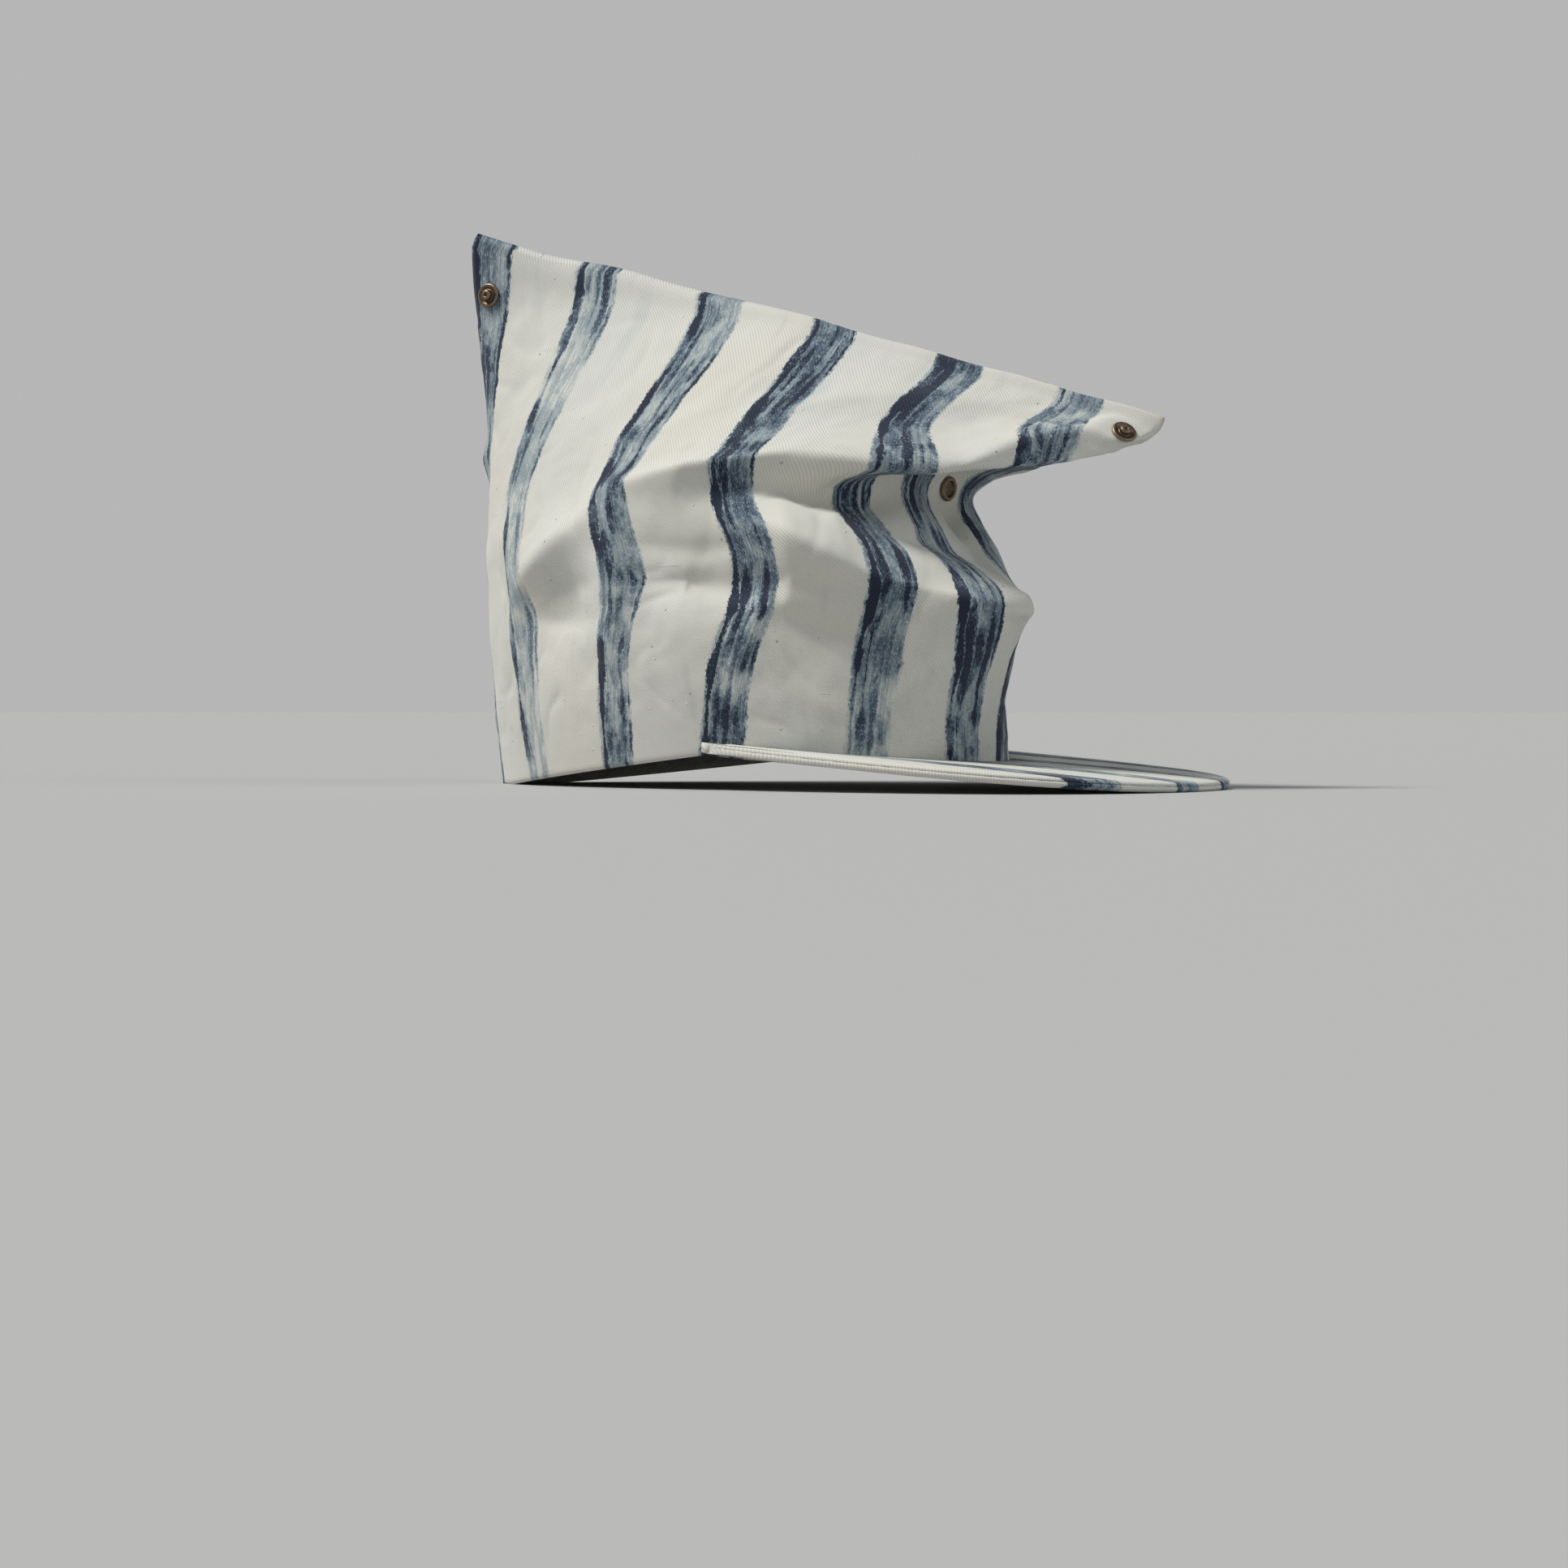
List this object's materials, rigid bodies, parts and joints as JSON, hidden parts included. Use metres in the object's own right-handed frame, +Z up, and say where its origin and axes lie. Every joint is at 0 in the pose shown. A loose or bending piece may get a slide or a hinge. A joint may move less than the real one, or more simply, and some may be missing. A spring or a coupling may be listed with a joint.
{
  "type": "denim cap",
  "caption": "Tall cloth cap folded flat along its top, with a dented front, a stiff curved brim and snap fasteners for folding its corners down.",
  "frame": {"origin": "on the floor under the middle of the cap's bounding box", "axes": "+X forward over the brim, +Y to the wearer's left, +Z up"},
  "size_m": [0.314, 0.184, 0.2267],
  "materials": {
    "denim": "undyed cotton twill with brushed indigo stripes",
    "snap_metal": "darkened antique brass"
  },
  "bodies": {
    "root": {"crown": "denim", "brim": "denim", "front_stud": "snap_metal", "front_socket": "snap_metal", "back_stud": "snap_metal", "back_socket": "snap_metal"}
  },
  "joints": []
}
